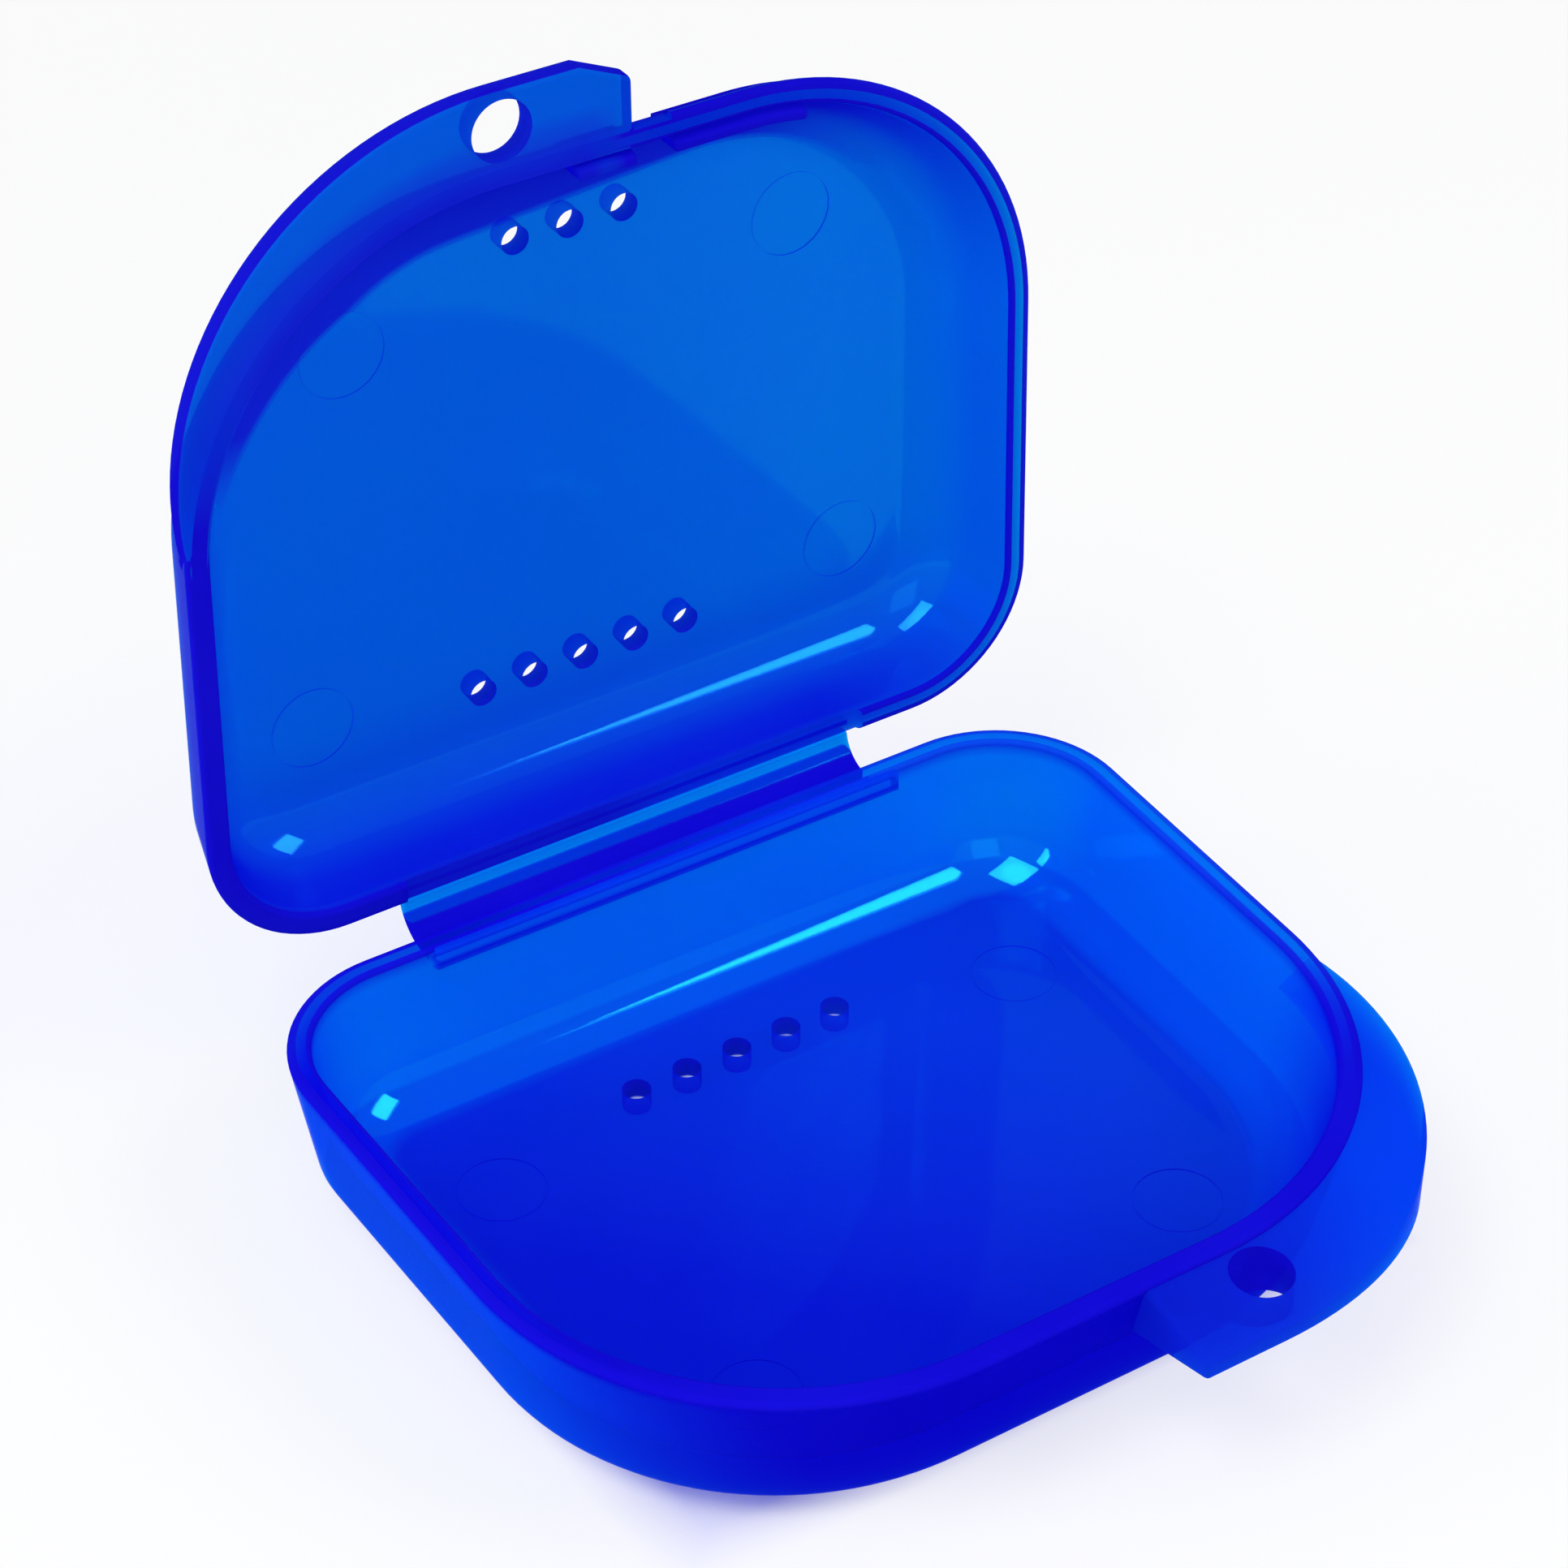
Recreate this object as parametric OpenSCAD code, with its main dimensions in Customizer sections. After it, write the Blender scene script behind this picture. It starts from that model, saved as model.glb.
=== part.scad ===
// Orthodontic retainer case: a deep base tray and a shallower lid tray with one outline,
// joined along the back edge by a thin hinge strap. The case is drawn with its lid open.
// Origin on the underside of the base, midway along the hinge and midway front to back.
// X runs along the hinge, the front is toward -Y, +Z is up. Millimetres.

/* [Case] */
// Outer width at the hinge edge
case_w = 80.4; // [74:0.2:88]
// Outer width at the front, where the side lines meet the front line
front_w = 77; // [73:0.2:84]
// Outer depth of a tray without its finger lip
case_d = 66; // [60:0.2:74]
// Radius of the two corners beside the hinge
back_r = 11.8; // [10.5:0.1:15]
// Radius of the two large front corners
front_r = 28.2; // [24:0.2:31]
// Height of the base tray
base_h = 15.1; // [13:0.1:19]
// Height of the lid tray
lid_h = 10.7; // [9.4:0.1:14]
// Wall thickness
wall = 2; // [1.4:0.1:2.4]
// Floor thickness
floor_t = 1.9; // [1.5:0.1:2.2]
// Slope of the base's walls from upright, in degrees
base_draft = 9; // [6:0.5:10.5]
// Slope of the lid's walls from upright, in degrees
lid_draft = 15.3; // [11:0.1:17]
// Further slope of the base's front, in degrees
base_lean = 4.3; // [2:0.1:6]
// Further slope of the lid's front, in degrees
lid_lean = 19.4; // [14:0.1:21]
// Outer radius between wall and floor of the base
base_edge_r = 4.8; // [4:0.1:6]
// Outer radius between wall and floor of the lid
lid_edge_r = 6.3; // [5:0.1:6.6]
// Inner radius between wall and floor of the base
base_inner_r = 6; // [4:0.1:6.4]
// Inner radius between wall and floor of the lid
lid_inner_r = 5; // [3:0.1:5.4]

/* [Rim] */
// Height of the rim at the mouth of each tray
rim_h = 3.4; // [3:0.1:4]
// Height of the upright band at the edge of each rim
band_h = 0.6; // [0.5:0.05:0.9]
// Space between the two rims when the case is shut
rim_gap = 0.2; // [0.1:0.05:0.5]
// Depth of the step in the lid's rim beside the hinge
rim_step = 0.6; // [0.3:0.1:1]
// Depth of the notch in the lid's front rim between its lip and its latch bar
notch_in = 0.4; // [0.3:0.1:1]

/* [Finger lips] */
// Thickness of the lid's lip, and of the base's lip at its tip
lip_t = 2; // [1.6:0.1:2.4]
// Radius of the lips' outer corner
lip_r = 28.3; // [26:0.1:29]
// How far the base's lip stands out from the front
base_lip_reach = 8; // [7:0.1:9]
// How far the lid's lip stands out from the front
lid_lip_reach = 6.1; // [5.9:0.1:7]
// Inner end of the base's lip, from the middle
base_lip_end = 3.4; // [2.6:0.1:6]
// Inner end of the lid's lip, from the middle
lid_lip_end = 1; // [-1:0.1:1.8]
// Diameter of the round hole in each lip
lip_hole_d = 5.2; // [4.4:0.1:5.4]
// Distance of the hole in the base's lip from the middle
base_hole_x = 12.4; // [10:0.1:14]
// Distance of the hole in the lid's lip from the middle
lid_hole_x = 10.4; // [9:0.1:13]
// Space between each lip's hole and the tray's rim
lip_hole_in = 0.2; // [0.1:0.05:0.4]
// Slant taken off the corner at the end of the lid's lip
lip_slant = 4; // [2:0.1:4.6]
// Step from the base's rim down to its lip
lip_step = 0.4; // [0.2:0.1:0.8]
// Fall of the base's lip from the front wall to its tip
lip_fall = 0.8; // [0.4:0.1:1.2]
// Height of the base's lip where it meets the front wall
lip_root = 5.6; // [4:0.1:6]

/* [Hinge] */
// Width of the hinge strap
strap_w = 44.6; // [34:0.2:50]
// Thickness of the hinge strap
strap_t = 1.2; // [0.8:0.05:1.3]
// Distance of the bending lines behind the rims
line_back = 1; // [0.9:0.05:1.4]
// Distance of each bending line from its rim's edge
line_drop = 2.2; // [1.8:0.1:2.6]
// Space between the strap's rounded edges and the strips that carry it
line_gap = 0.12; // [0.08:0.02:0.2]
// Height of the strips that carry the strap
strip_h = 1; // [0.6:0.1:1.2]
// Length of the raised rail inside the base's hinge edge
rail_l = 46; // [36:0.2:50]
// Height of the rail above the base's rim
rail_up = 0.8; // [0.5:0.1:1.2]
// Width of the rail's upper part
rail_w = 1; // [0.8:0.1:1.4]
// Opening of the lid in the pose that is drawn, in degrees
open_angle = 90; // [60:5:120]

/* [Latch] */
// Length of the latch bar beside the middle of the lid's front
bar_l = 12; // [8:0.2:13]
// Start of the latch bar, from the middle
bar_x = 4.4; // [3:0.1:6]
// Depth of the latch bar and catch past the lid's rim
latch_deep = 0.5; // [0.4:0.1:1.2]
// Thickness of the latch bar and catch
latch_t = 0.9; // [0.8:0.1:1.4]
// Space between the latch parts and the base's inner wall when shut
latch_gap = 0.25; // [0.2:0.05:0.5]
// Length of the catch beside the end of the lid's lip
catch_l = 5.2; // [4:0.1:7]

/* [Vents] */
// Diameter of the vent holes
vent_d = 2.5; // [1.8:0.1:3]
// Spacing of the vent holes
vent_pitch = 5; // [4:0.1:6]
// Vent holes in each row beside the hinge
back_vents = 5; // [3:1:6]
// Vent holes in the lid's row beside the front
front_vents = 3; // [1:1:4]
// Distance of the base's back row from the middle
base_row = 19.8; // [16:0.1:21]
// Distance of the lid's back row from the middle
lid_row = 21.6; // [17:0.1:22]
// Distance of the lid's front row from the middle
front_row = 20.6; // [16:0.1:21]

/* [Hidden] */
$fn = 64;
fillet_steps = 5;
corner_steps = 14;
// Extra reach of a cutter past the face it opens
over = 1;
// The side lines lean in toward the front by this angle
lean = atan((case_w - front_w) / 2 / case_d);
// Middle points of the right-hand corner curves
back_y = case_d / 2 - back_r;
front_y = front_r - case_d / 2;
back_x = case_w / 2 - back_r * tan(lean) - back_r / cos(lean);
front_x = case_w / 2 - (case_d - front_r) * tan(lean) - front_r / cos(lean);
// The bending lines of the strap, first at the base, then at the lid as if shut
line_y = case_d / 2 + line_back;
base_line_z = base_h - line_drop;
strap_l = 2 * line_drop + rim_gap;
lid_line_z = base_line_z + strap_l;
// Inner and outer faces of the latch parts, measured in from the outline
latch_out = wall + latch_gap;
latch_in = latch_out + latch_t;
// Inner face of the back wall at the mouth, and the back of the rail's upper part
rail_y = case_d / 2 - wall;
rail_gap = 0.4;
rail_clear = rail_up * tan(lid_draft) + rail_gap;
// How far the rail's foot runs down the rim, and how far its root runs below that
rail_low = 1.1;
rail_root = 0.6;
// How far the root of a latch part stays below the rim's edge
latch_root = 0.5;
// Front edges of the lips
base_lip_y = -case_d / 2 - base_lip_reach;
lid_lip_y = -case_d / 2 - lid_lip_reach;
tint = [0.05, 0.2, 0.9, 0.8];
tint_lid = [0.05, 0.35, 0.9, 0.8];
tint_trim = [0.1, 0.1, 0.75, 0.9];

function arc(c, r, a0, a1) = [for (i = [0 : fillet_steps])
    [c[0] + r * cos(a0 + (a1 - a0) * i / fillet_steps), c[1] + r * sin(a0 + (a1 - a0) * i / fillet_steps)]];

// How far a slope that starts below the upright band has moved in at height z of a tray of height h
function moved(h, z, slope) = max(0, h - band_h - z) * tan(slope);

// Distance in of the middle of a fillet of radius r on height z, for a wall face that starts at in
function fillet_u(in, r, z, h, draft) = in + moved(h, z + r, draft) + r / cos(draft);

// Section of a tray's wall from the edge of the underside, up to the rim, to the edge of the inner floor:
// first number is the distance in from the outline, second is the height
function wall_section(h, draft, outer_r, inner_r) = let (top = h - rim_h, in = moved(h, top, draft)) concat(
    arc([fillet_u(0, outer_r, 0, h, draft), outer_r], outer_r, 270, 180 + draft),
    [[in, top], [wall + in, top]],
    arc([fillet_u(wall, inner_r, floor_t, h, draft), floor_t + inner_r], inner_r, 180 + draft, 270));

// Section of a rim, on top of that wall
function rim_section(h, draft) = let (top = h - rim_h, in = moved(h, top, draft))
    [[in, top], [0, h - band_h], [0, h], [wall, h], [wall, h - band_h], [wall + in, top]];

// Points of the right half of the outline moved in by an amount, from the back to the front
function right_half(in) = concat(
    [for (i = [0 : corner_steps]) let (a = 90 - (90 + lean) * i / corner_steps)
        [back_x + (back_r - in) * cos(a), back_y + (back_r - in) * sin(a)]],
    [for (i = [0 : corner_steps]) let (a = -lean - (90 - lean) * i / corner_steps)
        [front_x + (front_r - in) * cos(a), front_y + (front_r - in) * sin(a)]]);

// Points of the whole outline moved in by an amount
function whole(in) = let (right = right_half(in), last = len(right) - 1)
    concat(right, [for (i = [last : -1 : 0]) [-right[i][0], right[i][1]]]);

module outline(in) {
    polygon(whole(in));
}

// How much of the front's further slope reaches a point: none at the back corners, all at the front
function share(y) = min(1, max(0, (back_y - y) / (back_y + case_d / 2)));

// The outline carried through a section, one ring of points for each of its corners
function rings(section, h, slope) = [for (s = section) [for (q = whole(s[0]))
    [q[0], q[1] + moved(h, s[1], slope) * share(q[1]), s[1]]]];

// A solid over rings of points, closed by flat ends, or by joining the last ring to the first
module skin(rows, closed = false) {
    n = len(rows[0]);
    m = len(rows);
    sides = [for (k = [0 : closed ? m - 1 : m - 2], i = [0 : n - 1])
        let (j = (i + 1) % n, a = k * n, b = (k + 1) % m * n)
            each [[a + i, a + j, b + j], [a + i, b + j, b + i]]];
    ends = [[for (i = [n - 1 : -1 : 0]) i], [for (i = [0 : n - 1]) (m - 1) * n + i]];
    polyhedron([for (r = rows) each r], closed ? sides : concat(sides, ends));
}

// What a tray's outside fills from its mouth down past its lip
module mouth_block(h, draft, slope) {
    low = h - lip_root - 2 * over;
    skin(rings([[moved(h, low, draft), low], [0, h - band_h], [0, h + over]], h, slope));
}

module vent_row(count, y) {
    for (i = [0 : count - 1])
        translate([(i - (count - 1) / 2) * vent_pitch, y, -over])
            cylinder(d = vent_d, h = floor_t + 2 * over);
}

module tray(h, draft, slope, outer_r, inner_r) {
    skin(rings(wall_section(h, draft, outer_r, inner_r), h, slope));
}

module rim(h, draft, slope) {
    skin(rings(rim_section(h, draft), h, slope), closed = true);
}

// A crescent on the right half of a tray's front, flat, from x_end outward
module lip_shape(y, x_end, hole_x) {
    difference() {
        union() {
            translate([front_x, y + lip_r]) circle(lip_r);
            translate([x_end, y]) square([front_x - x_end, lip_r]);
        }
        translate([x_end - 2 * case_w, -case_d]) square([2 * case_w, 2 * case_d]);
        translate([hole_x, -case_d / 2 - lip_hole_in - lip_hole_d / 2]) circle(d = lip_hole_d);
    }
}

// Turns a lid part that stands on its floor like the base into the drawn open pose
module on_lid() {
    translate([0, line_y, base_line_z]) rotate([-open_angle / 2, 0, 0])
        translate([0, 0, strap_l]) rotate([-open_angle / 2, 0, 0])
            translate([0, -line_y, lid_h - line_drop]) mirror([0, 0, 1]) children();
}

module base_shell() {
    color(tint) difference() {
        tray(base_h, base_draft, base_lean, base_edge_r, base_inner_r);
        vent_row(back_vents, base_row);
    }
}

module base_rim() {
    color(tint) rim(base_h, base_draft, base_lean);
}

// The base's lip thins from the wall to its tip
module base_finger_lip() {
    front = -case_d / 2;
    top = base_h - lip_step;
    color(tint_trim) difference() {
        intersection() {
            linear_extrude(base_h) lip_shape(base_lip_y, base_lip_end, base_hole_x);
            rotate([90, 0, 90]) linear_extrude(case_w) polygon([[base_lip_y, top - lip_fall - lip_t],
                [front, top - lip_root], [0, top - lip_root], [0, top], [front, top],
                [base_lip_y, top - lip_fall]]);
        }
        mouth_block(base_h, base_draft, base_lean);
    }
}

module base_hinge_rail() {
    top_y = rail_y - rail_clear;
    foot = -rail_low - rail_root;
    color(tint_trim) translate([-rail_l / 2, 0, base_h]) rotate([90, 0, 90]) linear_extrude(rail_l)
        polygon([[rail_y - moved(0, foot, base_draft), foot], [rail_y, -band_h], [rail_y, -rail_gap],
            [top_y, -rail_gap], [top_y, rail_up], [top_y - rail_w, rail_up], [top_y - rail_w, -rail_low]]);
}

// The strip that joins the rim of a tray of height h to its bending line
module hinge_strip(h, draft) {
    low = h - line_drop - strip_h / 2;
    high = low + strip_h;
    out = line_y - strap_t / 2 - line_gap;
    translate([-strap_w / 2, 0, 0]) rotate([90, 0, 90]) linear_extrude(strap_w)
        polygon([[case_d / 2 - moved(h, low, draft), low], [out, low], [out, high],
            [case_d / 2 - moved(h, high, draft), high]]);
}

module base_hinge_strip() {
    color(tint_trim) hinge_strip(base_h, base_draft);
}

module hinge_strap() {
    color(tint_trim) translate([-strap_w / 2, line_y, base_line_z]) rotate([-open_angle / 2, 0, 0])
        rotate([90, 0, 90]) linear_extrude(strap_w) {
            translate([-strap_t / 2, 0]) square([strap_t, strap_l]);
            circle(d = strap_t);
            translate([0, strap_l]) circle(d = strap_t);
        }
}

module lid_hinge_strip() {
    color(tint_trim) on_lid() hinge_strip(lid_h, lid_draft);
}

module lid_shell() {
    color(tint_lid) on_lid() difference() {
        tray(lid_h, lid_draft, lid_lean, lid_edge_r, lid_inner_r);
        vent_row(back_vents, lid_row);
        vent_row(front_vents, -front_row);
    }
}

module lid_rim() {
    color(tint_lid) on_lid() difference() {
        rim(lid_h, lid_draft, lid_lean);
        translate([-rail_l / 2, case_d / 2 - 2 * wall, lid_h - rim_step])
            cube([rail_l, 3 * wall, rim_step + over]);
        translate([lid_lip_end, -case_d / 2 - over, -over])
            cube([bar_x - lid_lip_end, notch_in + over, lid_h + 2 * over]);
    }
}

module lid_finger_lip() {
    color(tint_trim) on_lid() mirror([1, 0, 0]) difference() {
        translate([0, 0, lid_h - lip_t]) linear_extrude(lip_t) difference() {
            lip_shape(lid_lip_y, -lid_lip_end, lid_hole_x);
            polygon([[-lid_lip_end - over, lid_lip_y - over],
                [lip_slant + over - lid_lip_end, lid_lip_y - over],
                [lip_slant - lid_lip_end, lid_lip_y], [-lid_lip_end, lid_lip_y + lip_slant / 2],
                [-lid_lip_end - over, lid_lip_y + lip_slant / 2]]);
        }
        mouth_block(lid_h, lid_draft, lid_lean);
    }
}

// A strip of the front that follows the outline between two distances in from it
module front_strip(x, l, from, to) {
    intersection() {
        difference() {
            outline(from);
            outline(to);
        }
        translate([x, -case_d]) square([l, case_d]);
    }
}

// A tab on the inner face of the lid's front rim that drops into the mouth of the base
module latch_tab(x, l) {
    difference() {
        translate([0, 0, lid_h - rim_h]) {
            linear_extrude(rim_h - latch_root) front_strip(x, l, wall, latch_in);
            linear_extrude(rim_h + latch_deep) front_strip(x, l, latch_out, latch_in);
        }
        rim(lid_h, lid_draft, lid_lean);
    }
}

module lid_latch_bar() {
    color(tint_trim) on_lid() latch_tab(bar_x, bar_l);
}

module lid_latch_catch() {
    color(tint_trim) on_lid() latch_tab(lid_lip_end - catch_l, catch_l);
}

base_shell();
base_rim();
base_finger_lip();
base_hinge_rail();
base_hinge_strip();
hinge_strap();
lid_hinge_strip();
lid_shell();
lid_rim();
lid_finger_lip();
lid_latch_bar();
lid_latch_catch();
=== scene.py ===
"""Retainer case: the looks of the open blue clamshell, in metres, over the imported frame."""
import math

import bmesh
import bpy
from mathutils import Matrix, Vector


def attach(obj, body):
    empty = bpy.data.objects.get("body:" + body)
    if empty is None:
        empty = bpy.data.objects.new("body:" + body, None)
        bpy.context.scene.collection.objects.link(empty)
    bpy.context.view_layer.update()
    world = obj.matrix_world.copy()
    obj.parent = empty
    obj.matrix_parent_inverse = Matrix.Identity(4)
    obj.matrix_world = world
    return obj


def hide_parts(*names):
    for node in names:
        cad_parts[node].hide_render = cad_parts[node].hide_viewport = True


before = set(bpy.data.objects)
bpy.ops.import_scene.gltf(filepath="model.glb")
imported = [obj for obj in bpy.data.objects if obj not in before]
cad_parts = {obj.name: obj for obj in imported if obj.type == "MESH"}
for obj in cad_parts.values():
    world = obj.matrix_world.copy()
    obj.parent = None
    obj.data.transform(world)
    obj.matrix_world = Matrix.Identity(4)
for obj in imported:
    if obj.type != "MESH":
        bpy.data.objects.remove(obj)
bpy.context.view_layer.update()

MM = 0.001

# Trays, in millimetres and radians: outline, heights, walls, slopes and the roundings at the floor
CASE_W, FRONT_W, CASE_D = 80.4, 77.0, 66.0
BACK_R, FRONT_R = 11.8, 28.2
BASE_H, LID_H = 15.1, 10.7
WALL, FLOOR_T, FLOOR_RING = 2.0, 1.9, 11.0
BASE_DRAFT, LID_DRAFT = math.radians(9), math.radians(15.3)
BASE_LEAN, LID_LEAN = math.radians(4.3), math.radians(19.4)
BASE_EDGE_R, LID_EDGE_R = 4.8, 6.3
BASE_INNER_R, LID_INNER_R = 6.0, 5.0

# Rims: the upright band and its edges, the gap when shut, the step by the hinge, the notch by the lip
RIM_H, BAND_H, BAND_ROUND = 3.4, 0.6, 1.0
EDGE_ROUND, EDGE_LINE = 0.45, 0.75
RIM_GAP, RIM_STEP, STEP_SLANT, STEP_TALL = 0.2, 0.6, 1.2, 2.0
NOTCH_IN = 0.4

# Finger lips and their holes
LIP_T, LIP_R, LIP_BITE, LIP_EDGE = 2.0, 28.3, 1.8, 0.45
LIP_SWEEP, WALL_SWEEP = math.radians(106), math.radians(84)
BASE_LIP_Y, LID_LIP_Y = -CASE_D / 2 - 8.0, -CASE_D / 2 - 6.1
BASE_LIP_END, LID_LIP_END = 3.4, 1.0
LIP_SLANT, LIP_NOSE = 4.0, 0.5
LIP_STEP, LIP_FALL, LIP_ROOT, LIP_SINK = 0.4, 0.8, 5.6, 0.02
HOLE_D, HOLE_IN = 5.2, 0.2
BASE_HOLE_X, LID_HOLE_X = 12.4, 10.4

# Hinge: the strap, its bending lines, the strips that carry it and the base's rail
STRAP_W, STRAP_T, STRAP_SAG, STRAP_EDGE = 44.6, 1.2, 0.9, 0.3
LINE_BACK, LINE_DROP, LINE_GAP = 1.0, 2.2, 0.12
STRIP_H, STRIP_BITE, STRIP_EDGE = 1.0, 0.9, 0.12
RAIL_L, RAIL_W, RAIL_UP, RAIL_GAP = 46.0, 1.0, 0.8, 0.4
RAIL_LOW, RAIL_ROOT, RAIL_BITE, RAIL_EDGE = 1.1, 0.6, 0.6, 0.3
OPEN = math.radians(90)

# Latch tabs at the lid's front
BAR_L, BAR_X, CATCH_L = 12.0, 4.4, 5.2
LATCH_T, LATCH_DEEP, LATCH_GAP = 0.9, 0.5, 0.25
LATCH_START, LATCH_ROOT, LATCH_BITE, LATCH_EDGE = 0.1, 0.5, 0.6, 0.28

# Vents and ejector marks
VENT_D, VENT_PITCH = 2.5, 5.0
BACK_VENTS, FRONT_VENTS = 5, 3
BASE_ROW, LID_ROW, FRONT_ROW = 19.8, 21.6, 20.6
PIN_D, PIN_DEEP = 7.5, 0.1
BASE_PINS = [(-25.7, 15.1), (25.7, 15.1), (-20.4, -15.8), (20.4, -15.8)]
LID_PINS = [(-26.0, 18.9), (26.0, 18.9), (-20.8, -15.2), (20.8, -15.2)]

# How far a cutter overshoots, how close points are welded, which edges are sharp, which faces are upright
OVER, WELD = 1.0, 1e-4
SHARP, CREASE = math.radians(50), math.radians(38)
UPRIGHT = 0.5

# How far from the wall an edge lies before it is rounded
LIP_CLEAR, RAIL_CLEAR, LATCH_CLEAR = 0.05, 0.2, 0.1

# Steps of the rounded corners, edges, arcs and holes
BACK_STEPS, FRONT_STEPS, LIP_ARC_STEPS, BOW_STEPS, LATCH_STEPS = 20, 32, 40, 16, 8
FLOOR_STEPS, EDGE_STEPS, BAND_STEPS, BLOCK_STEPS = 10, 4, 2, 2
VENT_SIDES, HOLE_SIDES = 24, 48

# Finishes of a piece's faces, and the share that each has in a look that the material reads; the edge look
# is painted shade on rim edges, lip sides, latch tabs and the walls of holes and pin marks
MAIN, EDGE, LIP, HOLE, INSIDE = range(5)
SHARES = {"edge": {EDGE: 1.0, HOLE: 0.9}, "lip": {LIP: 1.0}, "inside": {INSIDE: 1.0}}

# The middles of the outline's corners; the side lines lean in toward the front
LEAN = math.atan((CASE_W - FRONT_W) / 2 / CASE_D)
BACK_Y, FRONT_Y = CASE_D / 2 - BACK_R, FRONT_R - CASE_D / 2
BACK_X = CASE_W / 2 - BACK_R * math.tan(LEAN) - BACK_R / math.cos(LEAN)
FRONT_X = CASE_W / 2 - (CASE_D - FRONT_R) * math.tan(LEAN) - FRONT_R / math.cos(LEAN)
SIDE_L = (BACK_Y - FRONT_Y + (FRONT_R - BACK_R) * math.sin(LEAN)) / math.cos(LEAN)

# Where the strap bends, and the places of the pieces in the open pose
LINE_Y, BASE_LINE_Z, LID_LINE_Z = CASE_D / 2 + LINE_BACK, BASE_H - LINE_DROP, LID_H - LINE_DROP
STRAP_L = 2 * LINE_DROP + RIM_GAP
HALF_TURN = Matrix.Rotation(-OPEN / 2, 4, "X")
BASE_PLACE = Matrix.Identity(4)
STRAP_PLACE = Matrix.Translation((0, LINE_Y, BASE_LINE_Z)) @ HALF_TURN
LID_PLACE = (STRAP_PLACE @ Matrix.Translation((0, 0, STRAP_L)) @ HALF_TURN
             @ Matrix.Translation((0, -LINE_Y, LID_LINE_Z)) @ Matrix.Scale(-1, 4, (0, 0, 1)))
LID_FRONT_Z = (LID_PLACE @ Vector((0, FRONT_Y, 0))).z


def verts_of(geom):
    return [g for g in geom if isinstance(g, bmesh.types.BMVert)]


def edges_of(geom):
    return [g for g in geom if isinstance(g, bmesh.types.BMEdge)]


def polyline(bm, points):
    verts = [bm.verts.new(p) for p in points]
    return verts, [bm.edges.new(pair) for pair in zip(verts, verts[1:])]


def closed_line(bm, points):
    verts, row = polyline(bm, points)
    return row + [bm.edges.new((verts[-1], verts[0]))]


def run(bm, edges, along):
    """Extrudes a row of edges straight along a vector and gives the new row."""
    made = bmesh.ops.extrude_edge_only(bm, edges=edges)["geom"]
    new = verts_of(made)
    bmesh.ops.translate(bm, verts=new, vec=along)
    return [e for e in edges_of(made) if e.verts[0] in new and e.verts[1] in new]


def turn(bm, edges, centre, angle, steps, axis=(0, 0, -1)):
    """Spins a row of edges about an upright axis and gives the new row."""
    verts = list(dict.fromkeys(v for e in edges for v in e.verts))
    made = bmesh.ops.spin(bm, geom=verts + edges, cent=(centre[0], centre[1], 0), axis=axis,
                          angle=angle, steps=steps, use_duplicate=False)["geom_last"]
    return edges_of(made)


def round_corner(bm, vert, radius, segments):
    """Rounds the corner of a polyline at a vertex."""
    a, b = [(e.other_vert(vert).co - vert.co).normalized() for e in vert.link_edges]
    offset = radius / math.tan(a.angle(b) / 2)
    bmesh.ops.bevel(bm, geom=[vert], offset=offset, offset_type="OFFSET", segments=segments,
                    profile=0.5, affect="VERTICES", material=-1)


def round_edges(bm, edges, offset, segments=3):
    bmesh.ops.bevel(bm, geom=edges, offset=offset, segments=segments, profile=0.5, affect="EDGES",
                    material=-1)


def sharp_edges(bm):
    return [e for e in bm.edges if e.is_manifold and e.calc_face_angle() > SHARP]


def close_holes(bm):
    bmesh.ops.holes_fill(bm, edges=[e for e in bm.edges if e.is_boundary], sides=0)


def share_of(value, whole):
    """A value as a share of a whole, kept between 0 and 1."""
    return min(max(value / whole, 0), 1)


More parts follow.
